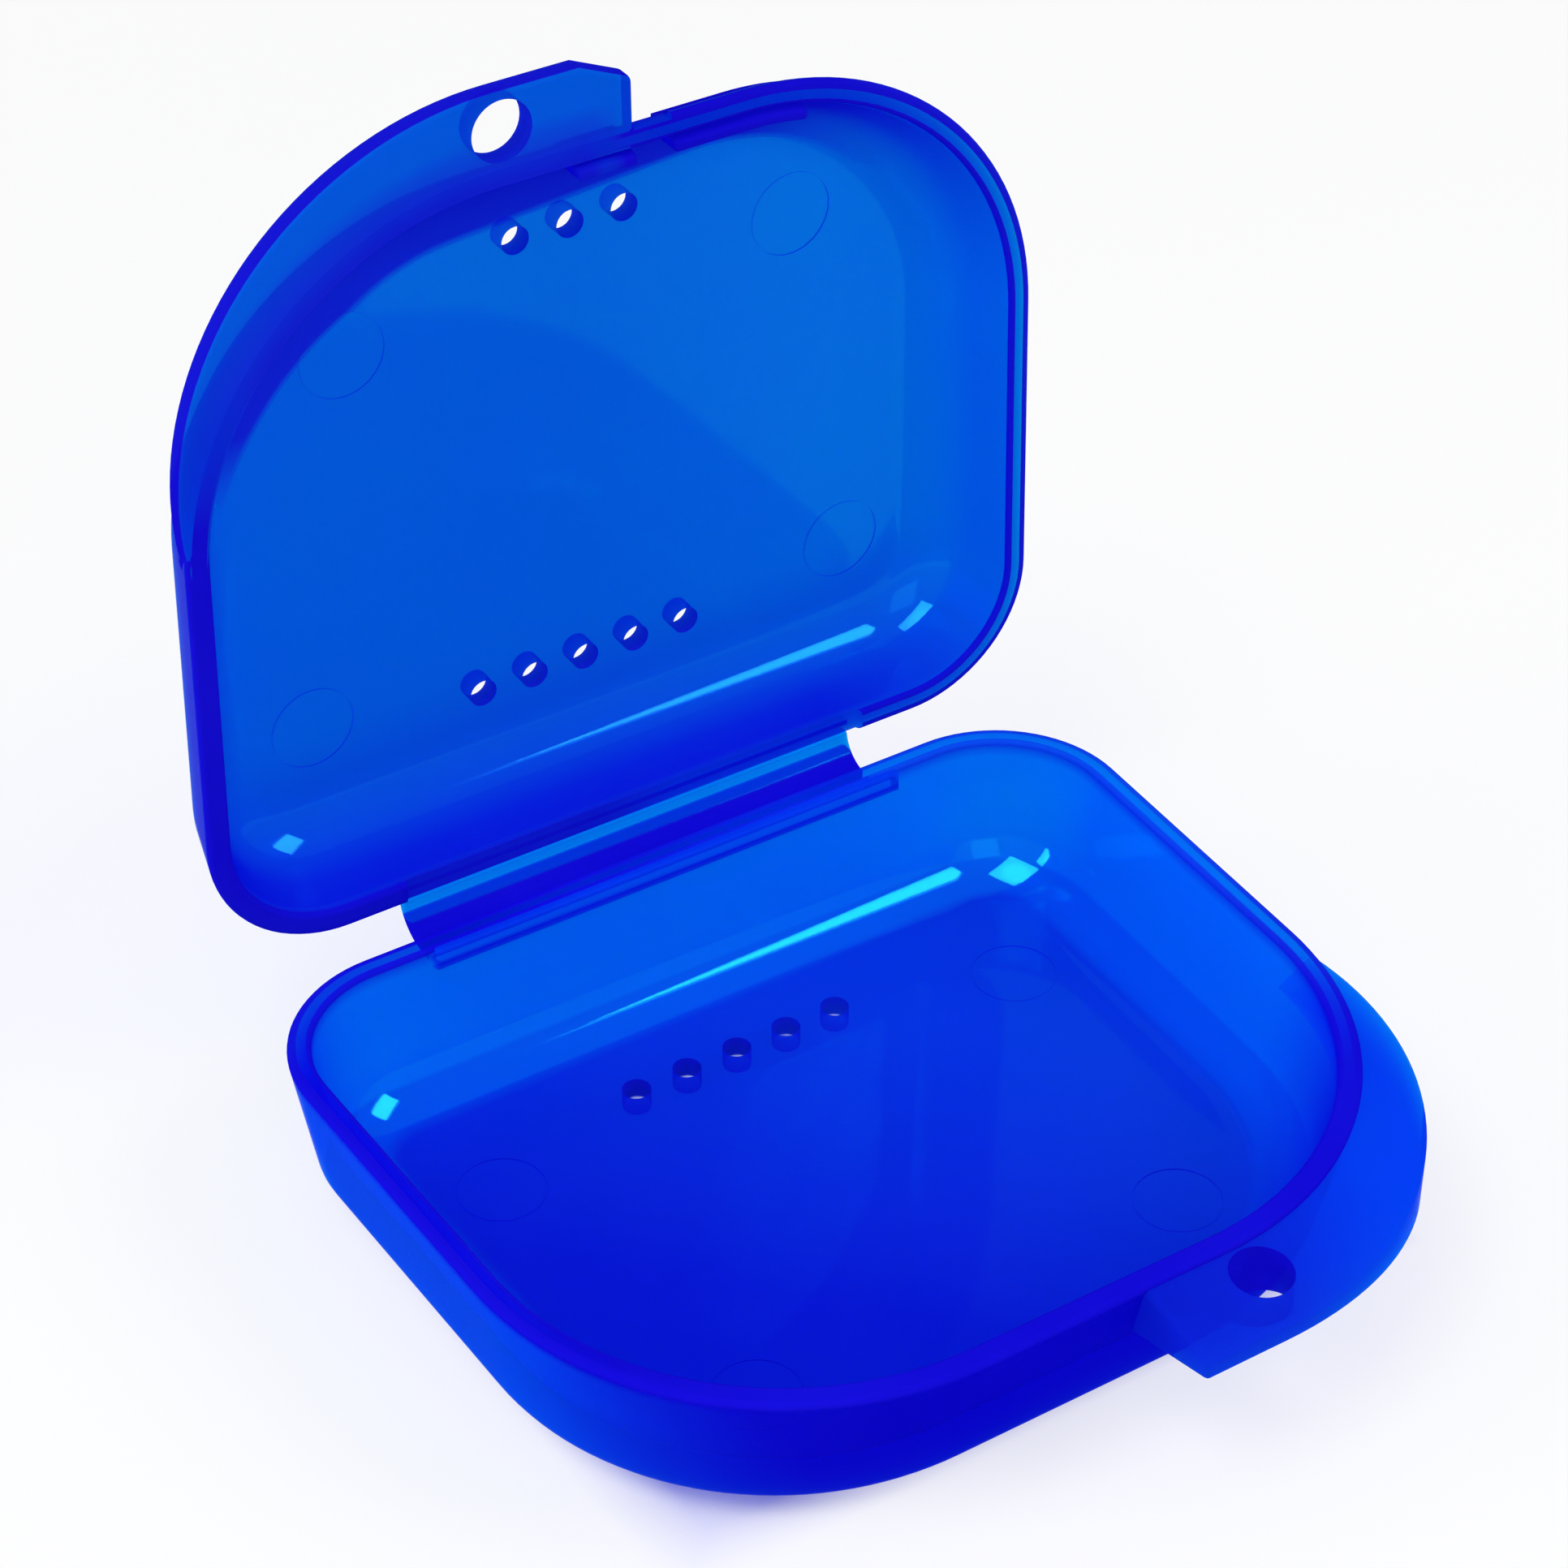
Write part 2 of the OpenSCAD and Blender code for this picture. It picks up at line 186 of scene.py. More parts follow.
def tray_wall(bm, height, draft, lean, outer_r, inner_r):
    """Sweeps the wall's section round the outline, closes both floor faces and leans the front.

    The section is a row of distances in from the outline, heights, radii and steps.
    """
    band = height - BAND_H
    slope = math.tan(draft)
    section = [(FLOOR_RING, 0, 0, 0),
               (band * slope, 0, outer_r, FLOOR_STEPS),
               (0, band, BAND_ROUND, BAND_STEPS),
               (0, height, EDGE_ROUND, EDGE_STEPS),
               (EDGE_LINE, height, 0, 0),
               (WALL, height, EDGE_ROUND, EDGE_STEPS),
               (WALL, band, BAND_ROUND, BAND_STEPS),
               (WALL + (band - FLOOR_T) * slope, FLOOR_T, inner_r, FLOOR_STEPS),
               (FLOOR_RING, FLOOR_T, 0, 0)]
    verts, _ = polyline(bm, [(-BACK_X, CASE_D / 2 - inward, z) for inward, z, _, _ in section])
    for vert, (_, _, radius, steps) in zip(verts, section):
        if radius:
            round_corner(bm, vert, radius, steps)
    inset = bm.verts.layers.float.new("inset")
    for v in bm.verts:
        v[inset] = CASE_D / 2 - v.co.y
    row = list(bm.edges)
    back, front = math.pi / 2 + LEAN, math.pi / 2 - LEAN
    side = Vector((-math.sin(LEAN), -math.cos(LEAN), 0)) * SIDE_L
    row = run(bm, row, (2 * BACK_X, 0, 0))
    row = turn(bm, row, (BACK_X, BACK_Y), back, BACK_STEPS)
    row = run(bm, row, side)
    row = turn(bm, row, (FRONT_X, FRONT_Y), front, FRONT_STEPS)
    row = run(bm, row, (-2 * FRONT_X, 0, 0))
    row = turn(bm, row, (-FRONT_X, FRONT_Y), front, FRONT_STEPS)
    row = run(bm, row, (side.x, -side.y, 0))
    turn(bm, row, (-BACK_X, BACK_Y), back, BACK_STEPS)
    bmesh.ops.remove_doubles(bm, verts=bm.verts, dist=WELD)
    close_holes(bm)
    for face in bm.faces:
        middle = sum(v[inset] for v in face.verts) / len(face.verts)
        edge = middle < EDGE_LINE or middle > WALL - EDGE_ROUND
        on_top = face.calc_center_median().z > height - EDGE_ROUND
        face.material_index = EDGE if edge and on_top else MAIN
    for v in bm.verts:
        share = share_of(BACK_Y - v.co.y, BACK_Y + CASE_D / 2)
        v.co.y += max(band - v.co.z, 0) * math.tan(lean) * share
    bmesh.ops.recalc_face_normals(bm, faces=bm.faces)
    bm.normal_update()
    mouth = Vector((0, 0, height))
    for face in bm.faces:
        middle = face.calc_center_median()
        if middle.z < height - EDGE_ROUND and face.normal.dot(mouth - middle) > 0:
            face.material_index = INSIDE


def outside(point):
    """How far a point right of the middle lies outside the outline's front and side."""
    x, y = point.x - FRONT_X, point.y - FRONT_Y
    if x < 0:
        return -y - FRONT_R
    if y < -x * math.tan(LEAN):
        return math.hypot(x, y) - FRONT_R
    return x * math.cos(LEAN) - y * math.sin(LEAN) - FRONT_R


def edge_outside(edge):
    return max(outside(v.co) for v in edge.verts)


def lip_plate(bm, y_front, x_end, root, tip, slant, side_finish):
    """A crescent plate on the right half of the front, its inner edge inside the wall.

    Root and tip are the heights of its lower and upper face at the wall and at the front edge.
    """
    front_edge = (y_front, y_front + LIP_R, LIP_SWEEP, slant)
    inner_edge = (LIP_BITE - CASE_D / 2, FRONT_Y, WALL_SWEEP, 0)
    for y, middle, sweep, nose in (front_edge, inner_edge):
        points = [(x_end, y + nose / 2, 0), (x_end + nose + LIP_NOSE, y, 0), (FRONT_X, y, 0)]
        verts, _ = polyline(bm, points)
        bmesh.ops.spin(bm, geom=[verts[2]], cent=(FRONT_X, middle, 0), axis=(0, 0, 1), angle=sweep,
                       steps=LIP_ARC_STEPS)
    bmesh.ops.bridge_loops(bm, edges=list(bm.edges))
    lower = list(bm.verts)
    upper = verts_of(bmesh.ops.extrude_face_region(bm, geom=list(bm.faces))["geom"])
    for face, verts in enumerate((lower, upper)):
        for v in verts:
            share = share_of(-CASE_D / 2 - v.co.y, -CASE_D / 2 - y_front)
            v.co.z = root[face] + (tip[face] - root[face]) * share
    bmesh.ops.recalc_face_normals(bm, faces=bm.faces)
    round_edges(bm, [e for e in sharp_edges(bm) if edge_outside(e) > LIP_CLEAR], LIP_EDGE)
    bm.normal_update()
    for face in bm.faces:
        face.material_index = side_finish if abs(face.normal.z) < UPRIGHT else LIP


def left_lip(bm):
    """The lid's lip, level with its rim: a lip of the right half, mirrored."""
    heights = (LID_H - LIP_T, LID_H - LIP_SINK)
    lip_plate(bm, LID_LIP_Y, -LID_LIP_END, heights, heights, LIP_SLANT, EDGE)
    bmesh.ops.scale(bm, verts=bm.verts, vec=(-1, 1, 1))
    bmesh.ops.reverse_faces(bm, faces=bm.faces)


def block(bm, low, high, edge):
    """A block between two corners, with rounded edges where a radius is given."""
    low, high = Vector(low), Vector(high)
    made = bmesh.ops.create_cube(bm, size=1)["verts"]
    bmesh.ops.scale(bm, verts=made, vec=high - low)
    bmesh.ops.translate(bm, verts=made, vec=(low + high) / 2)
    if edge:
        round_edges(bm, list(dict.fromkeys(e for v in made for e in v.link_edges)), edge, BLOCK_STEPS)


def drill(bm, x, y, z0, z1, diameter, sides):
    made = bmesh.ops.create_cone(bm, cap_ends=True, segments=sides, radius1=diameter / 2,
                                 radius2=diameter / 2, depth=z1 - z0)["verts"]
    bmesh.ops.translate(bm, verts=made, vec=(x, y, (z0 + z1) / 2))


def vents(bm, *rows):
    """Rows of vent holes, each a count and a distance from the middle."""
    for count, y in rows:
        for i in range(count):
            drill(bm, (i - (count - 1) / 2) * VENT_PITCH, y, -OVER, FLOOR_T + OVER, VENT_D, VENT_SIDES)


def pin_marks(bm, places):
    """Shallow round marks that the ejector pins leave in a floor."""
    for x, y in places:
        drill(bm, x, y, FLOOR_T - PIN_DEEP, FLOOR_T + OVER, PIN_D, HOLE_SIDES)
    bm.normal_update()
    for face in bm.faces:
        face.material_index = HOLE if abs(face.normal.z) < UPRIGHT else INSIDE


def lip_hole(bm, x, height):
    y = -CASE_D / 2 - HOLE_IN - HOLE_D / 2
    drill(bm, x, y, height - LIP_ROOT - 2 * OVER, height + OVER, HOLE_D, HOLE_SIDES)


def hinge_strip(bm, z):
    """The strip behind a rim that carries the strap, rooted in the wall."""
    front, back = CASE_D / 2 - STRIP_BITE, CASE_D / 2 + (LINE_BACK - STRAP_T / 2 - LINE_GAP)
    low, high = z - STRIP_H / 2, z + STRIP_H / 2
    block(bm, (-STRAP_W / 2, front, low), (STRAP_W / 2, back, high), STRIP_EDGE)


def cap_ends(bm):
    close_holes(bm)
    bmesh.ops.recalc_face_normals(bm, faces=bm.faces)


def base_rail(bm):
    """The rail inside the base's hinge edge, with a foot that runs into the rim."""
    wall = CASE_D / 2 - WALL
    back = wall - RAIL_UP * math.tan(LID_DRAFT) - RAIL_GAP
    front, root = back - RAIL_W, wall + RAIL_BITE
    low, foot = BASE_H - RAIL_LOW, BASE_H - RAIL_LOW - RAIL_ROOT
    top, step = BASE_H + RAIL_UP, BASE_H - RAIL_GAP
    section = [(root, foot), (wall, foot), (front, low), (front, top), (back, top), (back, step),
               (root, step)]
    run(bm, closed_line(bm, [(-RAIL_L / 2, y, z) for y, z in section]), (RAIL_L, 0, 0))
    cap_ends(bm)
    bare = [e for e in sharp_edges(bm) if max(v.co.y for v in e.verts) < wall - RAIL_CLEAR]
    round_edges(bm, bare, RAIL_EDGE)


def latch_tab(bm, x, length):
    """A tab that follows the inner face of the lid's front rim and drops past its edge."""
    low, root, high = LID_H - RIM_H + LATCH_START, LID_H - LATCH_ROOT, LID_H + LATCH_DEEP
    bite, outer, inner = WALL - LATCH_BITE, WALL + LATCH_GAP, WALL + LATCH_GAP + LATCH_T
    section = [(bite, low), (inner, low), (inner, high), (outer, high), (outer, root), (bite, root)]
    row = closed_line(bm, [(x, inward - CASE_D / 2, z) for inward, z in section])
    straight = min(length, FRONT_X - x)
    row = run(bm, row, (straight, 0, 0))
    if straight < length:
        bend = math.asin((x + length - FRONT_X) / (FRONT_R - inner))
        turn(bm, row, (FRONT_X, FRONT_Y), bend, LATCH_STEPS, axis=(0, 0, 1))
    cap_ends(bm)
    round_edges(bm, [e for e in sharp_edges(bm) if edge_outside(e) < -WALL - LATCH_CLEAR], LATCH_EDGE)


def rim_step_cut(bm):
    """The step in the lid's rim beside the hinge, with slanted ends."""
    longest, shortest = RAIL_L + STEP_SLANT, RAIL_L - STEP_SLANT
    made = bmesh.ops.create_cube(bm, size=1)["verts"]
    bmesh.ops.scale(bm, verts=made, vec=(longest, 3 * WALL, STEP_TALL))
    bmesh.ops.scale(bm, verts=[v for v in made if v.co.z < 0], vec=(shortest / longest, 1, 1))
    bmesh.ops.translate(bm, verts=made, vec=(0, CASE_D / 2 - WALL / 2, LID_H - RIM_STEP + STEP_TALL / 2))


def strap_plate(bm):
    """The strap, which bows out a little between its bending lines."""
    bow_r = (STRAP_L ** 2 / 4 + STRAP_SAG ** 2) / (2 * STRAP_SAG)
    centre = Vector((-STRAP_W / 2, STRAP_SAG - bow_r, STRAP_L / 2))
    half = math.asin(STRAP_L / 2 / bow_r)
    out = Vector((0, math.cos(half), -math.sin(half)))
    verts, row = polyline(bm, [centre + out * (bow_r - STRAP_T / 2), centre + out * (bow_r + STRAP_T / 2)])
    bmesh.ops.spin(bm, geom=verts + row, cent=centre, axis=(1, 0, 0), angle=2 * half, steps=BOW_STEPS)
    made = bmesh.ops.extrude_face_region(bm, geom=list(bm.faces))["geom"]
    bmesh.ops.translate(bm, verts=verts_of(made), vec=(STRAP_W, 0, 0))
    bmesh.ops.recalc_face_normals(bm, faces=bm.faces)
    round_edges(bm, sharp_edges(bm), STRAP_EDGE)


def solid(name, shape, *values):
    """A mesh object of a shape, in millimetres, before it is put at its place."""
    bm = bmesh.new()
    shape(bm, *values)
    mesh = bpy.data.meshes.new(name)
    bm.to_mesh(mesh)
    bm.free()
    obj = bpy.data.objects.new(name, mesh)
    bpy.context.scene.collection.objects.link(obj)
    return obj


def combine(body, operation, tool, finish):
    """Joins a tool to a body, or cuts it out, and keeps only the result.

    The faces that the tool leaves get the finish, unless the tool's own faces have one.
    """
    for face in tool.data.polygons:
        face.material_index = face.material_index or finish
    step = body.modifiers.new(operation, "BOOLEAN")
    step.material_mode = "INDEX"
    step.operation, step.solver, step.object = operation, "EXACT", tool
    graph = bpy.context.evaluated_depsgraph_get()
    mesh = bpy.data.meshes.new_from_object(body.evaluated_get(graph))
    body.modifiers.clear()
    old = body.data
    body.data = mesh
    bpy.data.meshes.remove(old)
    bpy.data.objects.remove(tool)


def join(body, name, shape, *values, finish=MAIN):
    combine(body, "UNION", solid(name, shape, *values), finish)


def cut(body, name, shape, *values, finish=MAIN):
    combine(body, "DIFFERENCE", solid(name, shape, *values), finish)


def finish_piece(body, place):
    """Puts a piece at its place in the case, in metres, and smooths its shading.

    Its faces' finishes are kept as shares of the looks, one attribute for each look.
    """
    bm = bmesh.new()
    bm.from_mesh(body.data)
    bmesh.ops.remove_doubles(bm, verts=bm.verts, dist=WELD)
    bmesh.ops.transform(bm, matrix=Matrix.Scale(MM, 4) @ place, verts=bm.verts)
    bmesh.ops.recalc_face_normals(bm, faces=bm.faces)
    for look, shares in SHARES.items():
        layer = bm.faces.layers.float.new(look)
        for face in bm.faces:
            face[layer] = shares.get(face.material_index, 0.0)
    for face in bm.faces:
        face.smooth = True
        face.material_index = 0
    bm.to_mesh(body.data)
    bm.free()
    body.data.set_sharp_from_angle(angle=CREASE)
    even = body.modifiers.new("even_shading", "WEIGHTED_NORMAL")
    even.keep_sharp = True


base = solid("base_body", tray_wall, BASE_H, BASE_DRAFT, BASE_LEAN, BASE_EDGE_R, BASE_INNER_R)
lip_top = BASE_H - LIP_STEP
lip_root = (lip_top - LIP_ROOT, lip_top)
lip_tip = (lip_top - LIP_FALL - LIP_T, lip_top - LIP_FALL)
join(base, "lip", lip_plate, BASE_LIP_Y, BASE_LIP_END, lip_root, lip_tip, 0, LIP)
join(base, "rail", base_rail)
join(base, "strip", hinge_strip, BASE_LINE_Z)
cut(base, "vents", vents, (BACK_VENTS, BASE_ROW), finish=HOLE)
cut(base, "pins", pin_marks, BASE_PINS)
cut(base, "hole", lip_hole, BASE_HOLE_X, BASE_H, finish=HOLE)
finish_piece(base, BASE_PLACE)

lid = solid("lid_body", tray_wall, LID_H, LID_DRAFT, LID_LEAN, LID_EDGE_R, LID_INNER_R)
notch_low = (LID_LIP_END, -CASE_D / 2 - OVER, 0)
notch_high = (BAR_X, NOTCH_IN - CASE_D / 2, LID_H + OVER)
cut(lid, "step", rim_step_cut)
cut(lid, "notch", block, notch_low, notch_high, 0)
join(lid, "lip", left_lip)
join(lid, "bar", latch_tab, BAR_X, BAR_L, finish=EDGE)
join(lid, "catch", latch_tab, LID_LIP_END - CATCH_L, CATCH_L, finish=EDGE)
join(lid, "strip", hinge_strip, LID_LINE_Z)
cut(lid, "vents", vents, (BACK_VENTS, LID_ROW), (FRONT_VENTS, -FRONT_ROW), finish=HOLE)
cut(lid, "pins", pin_marks, LID_PINS)
cut(lid, "hole", lip_hole, -LID_HOLE_X, LID_H, finish=HOLE)
finish_piece(lid, LID_PLACE)

strap = solid("strap_plate", strap_plate)
finish_piece(strap, STRAP_PLACE)

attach(base, "base")
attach(lid, "lid")
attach(strap, "strap")
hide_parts("base_shell", "base_rim", "base_finger_lip", "base_hinge_rail", "base_hinge_strip")
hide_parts("lid_shell", "lid_rim", "lid_finger_lip", "lid_latch_bar", "lid_latch_catch",
            "lid_hinge_strip")
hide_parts("hinge_strap")


class Socket:
    """A socket of a material's nodes. Sums and products of sockets and numbers add Math nodes."""

    def __init__(self, tree, socket=None):
        self.tree, self.socket = tree, socket

    def node(self, kind, settings=None, out=0, **inputs):
        """Adds a node. Its inputs go by name, with _ for a space, or by number as i0, i1 and so on."""
        made = self.tree.nodes.new(kind)
        for key, value in (settings or {}).items():
            setattr(made, key, value)
        for key, value in inputs.items():
            numbered = key[0] == "i" and key[1:].isdigit()
            place = made.inputs[int(key[1:]) if numbered else key.replace("_", " ")]
            if isinstance(value, Socket):
                self.tree.links.new(value.socket, place)
            else:
                place.default_value = value
        return Socket(self.tree, made.outputs[out] if made.outputs else None)

    def math(self, operation, a, b=0.0):
        return self.node("ShaderNodeMath", {"operation": operation}, i0=a, i1=b)

    def __add__(self, other):
        return self.math("ADD", self, other)

    def __radd__(self, other):
        return self.math("ADD", other, self)

    def __sub__(self, other):
        return self.math("SUBTRACT", self, other)

    def __rsub__(self, other):
        return self.math("SUBTRACT", other, self)

    def __mul__(self, other):
        return self.math("MULTIPLY", self, other)

    def __rmul__(self, other):
        return self.math("MULTIPLY", other, self)

    def most(self, other):
        return self.math("MAXIMUM", self, other)

    def absolute(self):
        return self.math("ABSOLUTE", self)

    def root(self):
        return self.math("SQRT", self)

    def remap(self, low, high, to_low, to_high):
        return self.node("ShaderNodeMapRange", {"clamp": True}, i0=self, i1=low, i2=high,
                         i3=to_low, i4=to_high)

    def fade(self, start, end, before=0.0, after=1.0):
        """Goes from one value to another between two places, which are in millimetres."""
        return self.remap(start * MM, end * MM, before, after)

    def mix(self, a, b):
        return self.node("ShaderNodeMix", {"data_type": "RGBA"}, out=2, i0=self, i6=a, i7=b)


def new_material(name):
    """A material with no nodes yet, and the socket class on its tree."""
    mat = bpy.data.materials.new(name)
    mat.use_nodes = True
    mat.node_tree.nodes.clear()
    return mat, Socket(mat.node_tree)


def place_on(s, axes):
    """A point's place on the piece, as a whole and along each axis asked for."""
    place = s.node("ShaderNodeTexCoord", out="Object")
    return place, [s.node("ShaderNodeSeparateXYZ", out=axis, Vector=place) for axis in axes]


def base_painted_light(place, looks):
    """Where the base gets painted light, where it gets the painted shade of an edge, and where it is
    glossy.

    Its side and back walls, its rail's top and the tail of its lip get the most painted light; its front
    rim gets painted shade.
    """
    x, y, z = place
    edge, lip = looks["edge"], looks["lip"]
    # Painted light on the inner walls, a little on the floor toward the back right, on the rail's top, the
    # lip's tail and the back rim; painted shade on the front rim, and on the rim lines, weaker toward the
    # back right
    wall = z.fade(1.9, 2.3) * z.fade(13.6, 14.6, 1, 0) * y.fade(-28, -8)
    painted_floor_light = z.fade(3, 6, 1, 0) * (x + y).fade(-20, 30, 0, 0.35)
    rail = x.absolute().fade(23.2, 23.6, 1, 0) * y.fade(30.4, 30.7, 1, 0) * z.fade(14.9, 15.1)
    rail_top_light = rail * y.fade(28, 29)
    lip_tail_light = lip * x.fade(12, 26, 0.3, 1)
    back_rim_light = z.fade(14.6, 15) * (x + y).fade(0, 40, 0, 0.9)
    front_rim_shade = z.fade(14.2, 14.7) * y.fade(-24, -8, 1, 0) * (1 - lip)
    rim_line_shade = edge * (x + y).fade(20, 50, 1, 0.5)
    shine = y.fade(-26, -12) * z.fade(13.8, 14.6, 1, 0)
    light = wall.most(painted_floor_light).most(rail_top_light).most(lip_tail_light).most(back_rim_light)
    return light, front_rim_shade.most(rim_line_shade), shine


# The painted shade of a dark band on the lid's front wall: how it narrows to the right, and near its foot
BAND_SLANT, BAND_FOOT, BAND_PULL = 0.09, 14.0, 0.4


def lid_painted_light(place, looks):
    """The lid gets painted light, lighter toward its top and right, but for its hinge side, a band on its
    front wall and the wall behind its rim, which get painted shade.

    Its left rim gets the painted shade of an edge, and by the lip this fades out over the lip's root.
    """
    x, y, z = place
    edge, lip, inside = looks["edge"], looks["lip"], looks["inside"]
    beside = (x.absolute() - FRONT_X * MM).most(0.0)
    above = (z - LID_FRONT_Z * MM).most(0.0)
    reach = (beside * beside + above * above).root()
    inward = reach - x * BAND_SLANT - (BAND_FOOT * MM - above).most(0.0) * BAND_PULL
    # Painted shade: a dark band on the front wall's inside, the wall behind the rim, the left rim and the
    # lip's root
    band = inward.fade(18.0, 18.8, 0, 0.9) * x.fade(16, 30, 1, 0) * y.fade(36.2, 36.6)
    front_wall = band * above.fade(0, 6) * inside
    behind_rim = y.fade(35.6, 36.2) * y.fade(38.5, 42, 1, 0) * x.fade(20, 36, 1, 0)
    by_lip = x.fade(-3, 0, 1, 0) * z.fade(60, 72)
    on_face = y.fade(35.5, 36, 1, 0)
    root = by_lip * on_face * reach.fade(26, 31, 1, 0)
    left_rim = on_face * x.fade(-4, 4, 1, 0) * (1 - lip) * (1 - by_lip)
    rim_line_shade = edge * (1 - by_lip * reach.fade(28.3, 28.7, 1, 0) * y.fade(35.1, 35.5, 1, 0))
    # Painted light, lighter toward the top and the right, and less behind the rim
    light = z.fade(15, 30, 0.1, 1) * x.fade(0, 25, 0.78, 1) * (1 - behind_rim)
    painted_edge_shade = rim_line_shade.most(left_rim).most(root * 0.9).most(front_wall)
    shine = y.fade(35.5, 36.5)
    return light.most(lip * (1 - root)), painted_edge_shade, shine


def strap_painted_light(place, looks):
    """The strap gets painted light along the lid and painted shade elsewhere."""
    # Painted light on the upper band along the lid, painted shade below it
    along_lid = place[2].fade(14.2, 14.4)
    return along_lid, 1 - along_lid, along_lid * 0.3


# The plastic: its clear share's bending of light, the absorption in its thickness, and its milky share
# in the plain walls, with what is added on a lip and at an edge, where it carries the painted shade
CLEAR_IOR, ABSORPTION = 1.01, 2800.0
MILK_LEAST, MILK_MOST, LIP_MILK, EDGE_MILK = 0.35, 0.41, 0.17, 0.56
GLOSSY_METAL = 0.06
LAMP_TINT = (0.5, 0.78, 0.97, 1)


def blue_plastic(name, painted_light_of, green, shaded_blue, blue, passes_light):
    """Blue moulded plastic, part clear and part milky, with a faint flow in its colour and gloss.

    It is deeper where it is thicker. Green is the share of green that its thickness lets pass, the next two
    are the blue of its places of painted shade and of painted light, and a piece that passes light tints
    the lamps' rays. Its painted light and painted shade are laid out by the function given first.
    """
    mat, s = new_material(name)
    place, axes = place_on(s, "XYZ")
    looks = {look: s.node("ShaderNodeAttribute", {"attribute_name": look}, out="Fac") for look in SHARES}
    # Painted light and painted shade by place on the piece, and where it is glossy; the edges take the
    # painted shade
    light, edge, shine = painted_light_of(axes, looks)
    light = light * (1 - edge)
    cloud = s.node("ShaderNodeTexNoise", Vector=place, Scale=60.0, Detail=3.0, Roughness=0.5)
    fine = s.node("ShaderNodeTexNoise", Vector=place, Scale=900.0, Detail=2.0, Roughness=0.6)
    ripple = s.node("ShaderNodeTexNoise", Vector=place, Scale=35.0, Detail=1.0, Roughness=0.4)
    flow = cloud.remap(0.3, 0.7, 0.0, 1.0)
    # Lit and shaded copies of the plastic's colours, for its painted light and painted shade, with a faint
    # flow
    painted_shade_tint = flow.mix((0.02, 0.10, shaded_blue + 0.26, 1), (0.03, 0.14, shaded_blue + 0.28, 1))
    painted_lit_tint = flow.mix((0.02, 0.94, blue, 1), (0.03, 0.98, blue + 0.02, 1))
    painted_shade_milk = flow.mix((0.006, 0.003, shaded_blue, 1), (0.008, 0.005, shaded_blue + 0.04, 1))
    painted_lit_milk = flow.mix((0.002, 0.065, blue - 0.08, 1), (0.003, 0.075, blue - 0.04, 1))
    gloss = cloud.remap(0.3, 0.7, 0.04, 0.06) + fine.remap(0.5, 0.8, 0.0, 0.02)
    bump = s.node("ShaderNodeBump", Strength=0.16, Distance=0.0002, Height=ripple + fine * 0.02)
    clear = s.node("ShaderNodeBsdfPrincipled", Base_Color=light.mix(painted_shade_tint, painted_lit_tint), Roughness=gloss,
                   IOR=CLEAR_IOR, Transmission_Weight=1.0, Metallic=shine * (1 - edge) * GLOSSY_METAL,
                   Specular_Tint=(0.0, 1.0, 1.0, 1), Normal=bump)
    milky = s.node("ShaderNodeBsdfPrincipled", Base_Color=light.mix(painted_shade_milk, painted_lit_milk), Roughness=0.5,
                   Specular_IOR_Level=0.0, Normal=bump)
    # The milky share carries the painted colours; it grows on a lip, and more on an edge's painted shade
    milk = flow.remap(0.0, 1.0, MILK_LEAST, MILK_MOST) + looks["lip"] * LIP_MILK + edge * EDGE_MILK
    skin = s.node("ShaderNodeMixShader", i0=milk, i1=clear, i2=milky)
    if passes_light:
        lamp_ray = s.node("ShaderNodeLightPath", out="Is Shadow Ray")
        through = s.node("ShaderNodeBsdfTransparent", Color=LAMP_TINT)
        skin = s.node("ShaderNodeMixShader", i0=lamp_ray, i1=skin, i2=through)
    depth = s.node("ShaderNodeVolumeAbsorption", Color=(0.0, green, 0.997, 1), Density=ABSORPTION)
    s.node("ShaderNodeOutputMaterial", Surface=skin, Volume=depth)
    return mat


# Each piece with its painted light and shade, the green that its thickness passes, the blue of its painted
# shade and of its painted light, and whether it passes the lamps' light
for piece, painted_light_of, green, shaded_blue, blue, passes_light in ((base, base_painted_light, 0.875, 0.64, 0.98, False),
                                                       (lid, lid_painted_light, 0.83, 0.56, 0.78, True),
                                                       (strap, strap_painted_light, 0.86, 0.60, 0.85, True)):
    plastic = blue_plastic("blue_" + piece.name, painted_light_of, green, shaded_blue, blue, passes_light)
    piece.data.materials.append(plastic)


# The studio: the floor's size and drop in millimetres, how bright the floor and the backdrop look to the
# rays that see them, and the backdrop's plain light
FLOOR_SIZE, FLOOR_DROP = 3000, 0.15
FLOOR_NEAR, FLOOR_MIRRORED = 0.7, 0.2
WORLD_LIGHT, WORLD_SEEN, WORLD_MIRRORED = 0.45, 0.55, 0.2
WHITE, PAPER_WHITE = (1, 1, 1, 1), (0.95, 0.95, 0.95, 1)


def seen_rays(s):
    """Whether a ray comes from the camera, off a gloss or through the plastic."""
    rays = ("Is Camera Ray", "Is Glossy Ray", "Is Transmission Ray")
    return [s.node("ShaderNodeLightPath", out=ray) for ray in rays]


